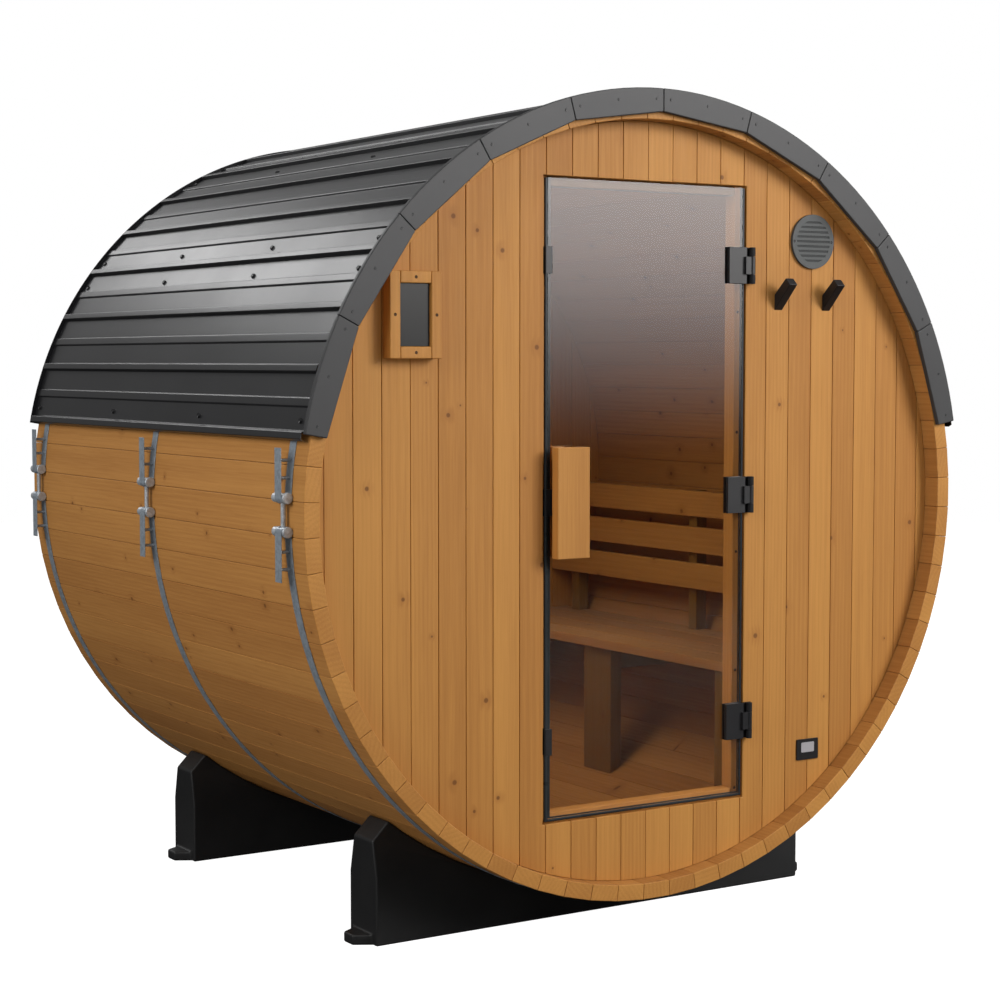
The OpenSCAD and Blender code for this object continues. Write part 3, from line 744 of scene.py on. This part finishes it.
class SAUNA_OT_hinges(Operator):
    """Finishes the hinge clamps, the brackets, the catch plates and the plates on the glass"""

    bl_idname = "sauna.hinges"
    bl_label = "Hinges and catches"

    def execute(self, context):
        width = settings().sizes.metal_edge
        dress("hinge_clamps", width, black_metal(), DOOR)
        dress("hinge_brackets", width / 2, matt_metal())
        dress("catch_plates", width, black_metal())
        self.edge_plates(black_metal())
        return {"FINISHED"}

    def edge_plates(self, material):
        """A plate on the free edge of the glass in front of each catch plate."""
        catches = node_copy("catch_plates")
        heights = [[v.co.z for face in group for v in face.verts] for group in islands(catches)]
        catches.free()
        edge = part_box("door_seal")[0].x
        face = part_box("door_glass")[0].y
        bm = bmesh.new()
        for spread in heights:
            low, high = min(spread), max(spread)
            middle = (edge + PLATE_WIDE / 2, face - PLATE_THICK / 2, (low + high) / 2)
            add_block(bm, middle, (PLATE_WIDE, PLATE_THICK, high - low))
        round_edges(bm, PLATE_THICK / 4)
        add_piece("glass_edge_plates", bm, material, DOOR)


SHEETS = 3
BATTENS = 4
BATTEN_HALF = 0.019
SCREW_SHARES = (0.10, 0.91)
BEND_LENGTH = 0.5
BEND_FACE = 0.0028
BEND_ANGLE = math.radians(20)
ROOF_SCREW_H = 0.005


def is_bend(edge):
    """Whether an edge is an outward bend that runs along a roof sheet."""
    long_enough = edge.calc_length() > BEND_LENGTH
    return long_enough and edge.is_convex and all(
        face.calc_area() > BEND_FACE * edge.calc_length() for face in edge.link_faces
    )


class SAUNA_OT_roof(Operator):
    """Rounds the bends of the roof sheets and finishes their battens and screws"""

    bl_idname = "sauna.roof"
    bl_label = "Roof sheets"

    def execute(self, context):
        paint = coated("Roof paint", settings().colours.roof, 0.28, 700.0, metallic=0.25, pale=1.35)
        for side in ("left", "right"):
            for row in ("low", "middle", "top"):
                bm = node_copy(f"roof_sheet_{side}_{row}")
                round_edges(bm, settings().sizes.sheet_edge, 3, BEND_ANGLE, is_bend)
                add_piece(f"roof_sheet_{side}_{row}_bent", bm, paint, CABIN,
                          [f"roof_sheet_{side}_{row}"])
        dress("roof_battens", settings().sizes.board_edge, bench_wood(), seed=50)
        radius = settings().sizes.roof_screw
        add_studs("roof_screws", self.screw_places(), radius, ROOF_SCREW_H, paint, sides=8)
        return {"FINISHED"}

    def screw_places(self):
        """Two rows of screws on each sheet, into the battens."""
        edge = settings().sizes.roof_edge
        sheet = (math.pi / 2 - edge) / SHEETS
        low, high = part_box("roof_battens")
        first, last = low.y + BATTEN_HALF, high.y - BATTEN_HALF
        places = []
        for row in range(SHEETS):
            for share in SCREW_SHARES:
                angle = edge + (row + share) * sheet
                for side in (-1, 1):
                    out = Vector((side * math.cos(angle), 0, math.sin(angle)))
                    for i in range(BATTENS):
                        y = first + (last - first) * i / (BATTENS - 1)
                        places.append((out * SHEET_R + Vector((0, y, AXIS_Z)), out))
        return places


ARCH_BOARDS = 10
ARCH_DEPTH = 0.056
ARCH_RISE = 0.016
ARCH_EDGE = 0.0028
ARCH_SCREW_R = 0.0038
ARCH_SCREW_H = 0.0012
ARCH_SCREWS = (0.08, 0.5, 0.92)
TRIM_THICK = 0.004
TRIM_STEPS = 120


class SAUNA_OT_fascia(Operator):
    """Finishes the fascia arches, their screws and the trim behind the roof"""

    bl_idname = "sauna.fascia"
    bl_label = "Fascia"

    def execute(self, context):
        paint = coated("Fascia paint", settings().colours.fascia, 0.42, 700.0, pale=1.25, gloss=0.2)
        for end, facing in (("front", -1), ("rear", 1)):
            bm = node_copy(f"{end}_fascia")
            outer = max(facing * v.co.y for v in bm.verts)
            outer_verts = [v for v in bm.verts if facing * v.co.y > outer - MERGE]
            bmesh.ops.translate(bm, verts=outer_verts, vec=(0, -facing * ARCH_SCREW_H, 0))
            round_edges(bm, ARCH_EDGE)
            add_piece(f"{end}_fascia_rounded", bm, paint, CABIN, [f"{end}_fascia"])
        self.rear_trim()
        places = self.screw_places(FRONT_ARCH_LOW.y, FRONT_ARCH_HIGH.z - AXIS_Z, ARCH_RISE, -1)
        places += self.screw_places(REAR_ARCH_HIGH.y, REAR_ARCH_HIGH.z - AXIS_Z, 0, 1)
        add_studs("fascia_screws", places, ARCH_SCREW_R, ARCH_SCREW_H, black_metal(), sides=8)
        return {"FINISHED"}

    def rear_trim(self):
        """A thin arch behind the roof sheets, over the ends of their ribs."""
        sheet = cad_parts["roof_sheet_left_top"].data
        outer = max(math.hypot(v.co.x, v.co.z - AXIS_Z) for v in sheet.vertices)
        back = min(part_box("roof_sheet_left_top")[1].y, REAR_ARCH_HIGH.y - TRIM_THICK)
        corners = ((outer, back), (outer, back + TRIM_THICK), (SHEET_R, back + TRIM_THICK), (SHEET_R, back))
        edge = settings().sizes.roof_edge
        bm = bmesh.new()
        rings = []
        for i in range(TRIM_STEPS + 1):
            angle = edge + (math.pi - 2 * edge) * i / TRIM_STEPS
            rings.append([
                bm.verts.new((radius * math.cos(angle), y, AXIS_Z + radius * math.sin(angle)))
                for radius, y in corners
            ])
        for one, other in zip(rings, rings[1:]):
            for i in range(4):
                bm.faces.new((one[i - 1], one[i], other[i], other[i - 1]))
        bm.faces.new(rings[0])
        bm.faces.new(rings[-1])
        bmesh.ops.recalc_face_normals(bm, faces=bm.faces)
        # The trim's matt black is partly painted shade: it keeps the trim's front face as dark as the shadow
        # that falls on it.
        add_piece("rear_trim", bm, matt_metal(), CABIN)

    def screw_places(self, y, top, rise, facing):
        """Three screws on each board of an arch."""
        edge = settings().sizes.roof_edge
        span = (math.pi - 2 * edge) / ARCH_BOARDS
        radius = top - rise - ARCH_DEPTH / 2
        base = y - facing * ARCH_SCREW_H
        places = []
        for i in range(ARCH_BOARDS):
            for share in ARCH_SCREWS:
                angle = edge + (i + share) * span
                spot = (radius * math.cos(angle), base, AXIS_Z + rise + radius * math.sin(angle))
                places.append((spot, (0, facing, 0)))
        return places


BAND_EDGE = 0.0003
NUT_HALF = 0.022
NUT_FACE = 0.0165
NUT_HEAD = 0.0245
NUT_TAIL = 0.040
NUT_HEAD_R = 0.0138
NUT_EDGE = 0.0026


class SAUNA_OT_bands(Operator):
    """Finishes the steel bands and their tensioners"""

    bl_idname = "sauna.bands"
    bl_label = "Steel bands"

    def execute(self, context):
        steel = galvanised("Galvanised steel", settings().colours.steel)
        band = galvanised("Band steel", settings().colours.band)
        for row in ("front", "middle", "rear"):
            dress(f"steel_band_{row}", BAND_EDGE, band, segments=1)
        for side in ("left", "right"):
            dress(f"band_tensioners_{side}", settings().sizes.metal_edge, steel)
            self.nut_ends(side, steel)
        return {"FINISHED"}

    def nut_ends(self, side, steel):
        """A round head in front of each nut and a longer end behind it."""
        low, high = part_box(f"band_tensioners_{side}")
        radius = (high.x - low.x) / 2
        bm = bmesh.new()
        for y in (low.y + NUT_HALF, (low.y + high.y) / 2, high.y - NUT_HALF):
            for z in (low.z + radius, high.z - radius):
                for wide, first, last in ((NUT_HEAD_R, -NUT_HEAD, -NUT_FACE), (radius, NUT_FACE, NUT_TAIL)):
                    at = Matrix.Translation(((low.x + high.x) / 2, y + (first + last) / 2, z))
                    bmesh.ops.create_cone(
                        bm, cap_ends=True, segments=24, radius1=wide, radius2=wide, depth=last - first,
                        matrix=at @ Matrix.Rotation(math.pi / 2, 4, "X"),
                    )
        round_edges(bm, NUT_EDGE, segments=3)
        add_piece(f"band_nut_ends_{side}", bm, steel, CABIN)


class SAUNA_OT_cradles(Operator):
    """Rounds the edges of the moulded cradles"""

    bl_idname = "sauna.cradles"
    bl_label = "Cradles"

    def execute(self, context):
        plastic = coated(
            "Cradle plastic", settings().colours.plastic, 0.42, 1200.0, relief=0.0004, gloss=0.35
        )
        for end in ("front", "rear"):
            dress(f"cradle_{end}", settings().sizes.plastic_edge, plastic, segments=3)
        return {"FINISHED"}


BOX_SCREW_IN = 0.0145
VENT_SCREW_IN = 0.0075
VENT_EDGE = 0.0006
VENT_SLOT = 0.0016
VENT_BACK = 0.004
STOP_SCREWS = (0.50, 0.18, -0.14, -0.46, -0.78)
BADGE_X = 0.550
BADGE_Z = -0.695
BADGE_THICK = 0.004
BADGE_CORNER = 0.003
BADGE_EDGE = 0.0004
FACE_THICK = 0.0046
FACE_WIDE = 0.60
FACE_TALL = 0.48
FACE_RISE = 0.10
PANE_EDGE = 0.0004
WALL_SCREW_H = 0.0012


class SAUNA_OT_fittings(Operator):
    """Finishes the vent, the robe hooks, the panel box and the plate on the front wall"""

    bl_idname = "sauna.fittings"
    bl_label = "Wall fittings"

    def execute(self, context):
        sizes = settings().sizes
        paint = coated("Vent paint", settings().colours.vent, 0.42, 800.0, gloss=0.2)
        dress("vent_grille", VENT_EDGE, paint)
        self.vent_back(coated("Vent slot shade paint", settings().colours.vent_slot_shade, 0.6, 800.0, gloss=0.2))
        dress("robe_hooks", sizes.metal_edge, black_metal())
        dress("panel_box_frame", sizes.trim_edge, upright_wood(), seed=60)
        pane = coated("Panel glass", settings().colours.panel, 0.12, 900.0, relief=0.0, pale=1.1, gloss=0.2)
        dress("panel_box_glass", PANE_EDGE, pane)
        self.screws()
        self.badge()
        return {"FINISHED"}

    def vent_back(self, paint):
        """A plate behind the vent's slots, so that they are shallow; its darker paint is painted shade in the
        slots.
        """
        low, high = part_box("vent_grille")
        radius = (high.x - low.x) / 2 - VENT_SCREW_IN
        middle = (low + high) / 2
        bm = bmesh.new()
        at = Matrix.Translation((middle.x, low.y + VENT_SLOT + VENT_BACK / 2, middle.z))
        bmesh.ops.create_cone(
            bm, cap_ends=True, segments=64, radius1=radius, radius2=radius, depth=VENT_BACK,
            matrix=at @ Matrix.Rotation(math.pi / 2, 4, "X"),
        )
        add_piece("vent_back", bm, paint, CABIN)

    def screws(self):
        """Screws of the panel box, the right stop strip and the vent."""
        out = (0, -1, 0)
        low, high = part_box("panel_box_frame")
        middle = (low + high) / 2
        places = [((middle.x, low.y, z), out) for z in (low.z + BOX_SCREW_IN, high.z - BOX_SCREW_IN)]
        places += [((x, low.y, middle.z), out) for x in (low.x + BOX_SCREW_IN, high.x - BOX_SCREW_IN)]
        low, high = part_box("door_stop_right")
        places += [(((low.x + high.x) / 2, low.y, AXIS_Z + z), out) for z in STOP_SCREWS]
        radius = settings().sizes.small_screw
        brown = coated("Screw brown", settings().colours.screw, 0.5, 900.0, gloss=0.1)
        add_studs("wall_screws", places, radius, WALL_SCREW_H, brown)
        low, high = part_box("vent_grille")
        middle = (low + high) / 2
        places = [((x, low.y, middle.z), out) for x in (low.x + VENT_SCREW_IN, high.x - VENT_SCREW_IN)]
        add_studs("vent_screws", places, radius, WALL_SCREW_H, black_metal())

    def badge(self):
        """A plain black plate with a pale face, low on the right of the front wall."""
        sizes = settings().sizes
        pale = coated("Badge face", settings().colours.badge, 0.35, 900.0, pale=1.2)
        width, height = sizes.badge_width, sizes.badge_height
        face = (width * FACE_WIDE, height * FACE_TALL, FACE_THICK, height * FACE_RISE)
        plates = (
            ("badge_plate", width, height, BADGE_THICK, 0, black_metal()),
            ("badge_face", *face, pale),
        )
        for name, wide, tall, thick, rise, material in plates:
            bm = bmesh.new()
            middle = (BADGE_X, WALL_Y - thick / 2, AXIS_Z + BADGE_Z + rise)
            add_block(bm, middle, (wide, thick, tall))
            corners = [edge for edge in bm.edges if abs(edge.verts[0].co.y - edge.verts[1].co.y) > thick / 2]
            bmesh.ops.bevel(
                bm, geom=corners, offset=BADGE_CORNER, segments=4, profile=0.5, affect="EDGES", material=-1,
            )
            round_edges(bm, BADGE_EDGE)
            add_piece(name, bm, material, CABIN)


class SAUNA_OT_bench(Operator):
    """Finishes the bench and its backrest"""

    bl_idname = "sauna.bench"
    bl_label = "Bench"

    def execute(self, context):
        width = settings().sizes.trim_edge
        dress("bench_seat", width, bench_wood(), seed=70)
        dress("backrest_slats", width, bench_wood(), seed=71)
        dress("bench_frames", width, leg_wood(), seed=72)
        dress("backrest_posts", width, leg_wood(), seed=73)
        return {"FINISHED"}


# Stage


FLOOR_R = 14
KEY_PLACE, KEY_SIZE = (4.2, -6.2, 4.0), (3.2, 3.2)
FILL_PLACE, FILL_SIZE = (-6.5, -2.0, 3.6), (3.5, 3.5)
REAR_PLACE, REAR_TARGET, REAR_SIZE = (-2.1, 6.5, 5.4), (0, 0.4, 1.9), (3.2, 1.8)
ROOM_PLACE, ROOM_TARGET, ROOM_SIZE = (-0.15, 0, AXIS_Z + 0.3), (0.1, 0, 0), (0.5, 0.9)
ROOM_TINT = (0.95, 0.91, 0.76)
CARD_PLACE, CARD_HALF = (2.0, -4.4, 2.5), 2.5
CARD_DARK, CARD_BRIGHT, CARD_STRENGTH = 1.0, 2.45, 7.5
CARD_TINT = (1, 0.97, 0.95, 1)
SENSOR = 36


def aim(obj, target):
    obj.rotation_euler = (Vector(target) - obj.location).to_track_quat("-Z", "Y").to_euler()


def area_light(name, at, target, size, power, tint=(1, 1, 1)):
    light = bpy.data.lights.new(name, "AREA")
    light.shape = "RECTANGLE"
    light.size, light.size_y = size
    light.energy = power
    light.color = tint
    obj = bpy.data.objects.new(name, light)
    obj.location = at
    bpy.context.scene.collection.objects.link(obj)
    aim(obj, target)
    obj.visible_camera = False
    return obj


def studio_world():
    """White to the camera, even to soft surfaces and bright only above to glossy ones."""
    world = bpy.data.worlds.new("Studio")
    world.use_nodes = True
    n = Nodes(world.node_tree)
    even = world.node_tree.nodes["Background"]
    n.put(even.inputs["Color"], (1, 1, 1, 1))
    even.inputs["Strength"].default_value = settings().studio.sky
    heading = n.new("ShaderNodeTexCoord").outputs["Generated"]
    height = n.new("ShaderNodeSeparateXYZ", {"Vector": heading}).outputs["Z"]
    rising = n.math("ADD", n.span(height, -0.16, 0.1, 0.02, 0.2), n.span(height, 0.1, 0.7, 0.0, 0.3))
    above = n.new("ShaderNodeBackground", {"Color": (1, 1, 1, 1), "Strength": rising})
    white = n.new("ShaderNodeBackground", {"Color": (1, 1, 1, 1), "Strength": 1.0})
    path = n.new("ShaderNodeLightPath").outputs
    gloss = n.new("ShaderNodeMixShader", {0: path["Is Glossy Ray"], 1: even.outputs[0], 2: above.outputs[0]})
    seen = {0: path["Is Camera Ray"], 1: gloss.outputs[0], 2: white.outputs[0]}
    choice = n.new("ShaderNodeMixShader", seen)
    n.put(world.node_tree.nodes["World Output"].inputs["Surface"], choice.outputs[0])
    bpy.context.scene.world = world


def floor_material():
    """Pale floor that is white to the camera, with a faint shadow."""
    material, n, shader = blank_material("Studio floor")
    n.put(shader.inputs["Base Color"], (0.34, 0.34, 0.34, 1))
    shader.inputs["Roughness"].default_value = 0.9
    shader.inputs["Specular IOR Level"].default_value = 0.0
    white = n.new("ShaderNodeEmission", {"Color": (1, 1, 1, 1), "Strength": 1.0})
    seen = n.new("ShaderNodeLightPath").outputs["Is Camera Ray"]
    glow = n.new("ShaderNodeMixShader", {0: seen, 2: white.outputs[0]})
    lit = n.new("ShaderNodeAddShader", {0: shader.outputs[0], 1: glow.outputs[0]})
    n.put(material.node_tree.nodes["Material Output"].inputs["Surface"], lit.outputs[0])
    return material


def glow_card():
    """A tall card in front that only reflections see, dark below and bright above."""
    bm = bmesh.new()
    matrix = Matrix.Translation(CARD_PLACE) @ Matrix.Rotation(math.pi / 2, 4, "X")
    bmesh.ops.create_grid(bm, x_segments=1, y_segments=1, size=CARD_HALF, matrix=matrix)
    mesh = bpy.data.meshes.new("glow_card")
    bm.to_mesh(mesh)
    bm.free()
    material = bpy.data.materials.new("Glow")
    material.use_nodes = True
    material.node_tree.nodes.clear()
    n = Nodes(material.node_tree)
    spot = n.new("ShaderNodeTexCoord").outputs["Object"]
    height = n.new("ShaderNodeSeparateXYZ", {"Vector": spot}).outputs["Z"]
    strength = n.span(height, CARD_DARK, CARD_BRIGHT, 0, CARD_STRENGTH)
    glow = n.new("ShaderNodeEmission", {"Color": CARD_TINT, "Strength": strength})
    output = n.new("ShaderNodeOutputMaterial")
    n.put(output.inputs["Surface"], glow.outputs[0])
    mesh.materials.append(material)
    card = bpy.data.objects.new("glow_card", mesh)
    bpy.context.scene.collection.objects.link(card)
    card.visible_camera = card.visible_diffuse = card.visible_transmission = card.visible_shadow = False


class SAUNA_OT_stage(Operator):
    """Sets the floor, the lights, the background and the camera"""

    bl_idname = "sauna.stage"
    bl_label = "Stage"

    def execute(self, context):
        scene = context.scene
        studio = settings().studio
        scene.view_settings.view_transform = "Standard"
        studio_world()
        bm = bmesh.new()
        bmesh.ops.create_circle(bm, cap_ends=True, segments=96, radius=FLOOR_R)
        mesh = bpy.data.meshes.new("studio_floor")
        bm.to_mesh(mesh)
        bm.free()
        mesh.materials.append(floor_material())
        floor = bpy.data.objects.new("studio_floor", mesh)
        scene.collection.objects.link(floor)
        floor.visible_glossy = False
        glow_card()
        middle = (0, 0, AXIS_Z)
        key = area_light("key_light", KEY_PLACE, middle, KEY_SIZE, studio.key_power)
        key.visible_transmission = False
        area_light("fill_light", FILL_PLACE, middle, FILL_SIZE, studio.fill_power)
        area_light("rear_light", REAR_PLACE, REAR_TARGET, REAR_SIZE, studio.back_power)
        room = area_light("room_light", ROOM_PLACE, ROOM_TARGET, ROOM_SIZE, studio.room_power, ROOM_TINT)
        room.visible_glossy = room.visible_transmission = False
        camera = bpy.data.objects.new("camera", bpy.data.cameras.new("camera"))
        camera.location = studio.camera_place
        camera.rotation_euler = studio.camera_turn
        camera.data.lens = studio.lens
        camera.data.sensor_width = SENSOR
        scene.collection.objects.link(camera)
        scene.camera = camera
        return {"FINISHED"}


OPERATORS = (
    SAUNA_OT_stage, SAUNA_OT_staves, SAUNA_OT_walls, SAUNA_OT_door, SAUNA_OT_hinges, SAUNA_OT_roof,
    SAUNA_OT_fascia, SAUNA_OT_bands, SAUNA_OT_cradles, SAUNA_OT_fittings, SAUNA_OT_bench,
)


class SAUNA_PT_panel(Panel):
    """Lists the pieces of the sauna and their settings"""

    bl_idname = "SAUNA_PT_panel"
    bl_label = "Barrel Sauna"
    bl_space_type = "VIEW_3D"
    bl_region_type = "UI"
    bl_category = "Sauna"

    def draw(self, context):
        column = self.layout.column()
        for operator in OPERATORS:
            column.operator(operator.bl_idname)
        for group in (settings().sizes, settings().colours, settings().studio):
            box = self.layout.box()
            for name in group.__annotations__:
                box.prop(group, name)


CLASSES = (SaunaSizes, SaunaColours, SaunaStudio, SaunaSettings, *OPERATORS, SAUNA_PT_panel)


def register():
    for item in CLASSES:
        bpy.utils.register_class(item)
    bpy.types.Scene.barrel_sauna = PointerProperty(type=SaunaSettings)


def unregister():
    del bpy.types.Scene.barrel_sauna
    for item in reversed(CLASSES):
        bpy.utils.unregister_class(item)


def main():
    register()
    for operator in OPERATORS:
        group, name = operator.bl_idname.split(".")
        getattr(getattr(bpy.ops, group), name)()


if __name__ == "__main__":
    main()
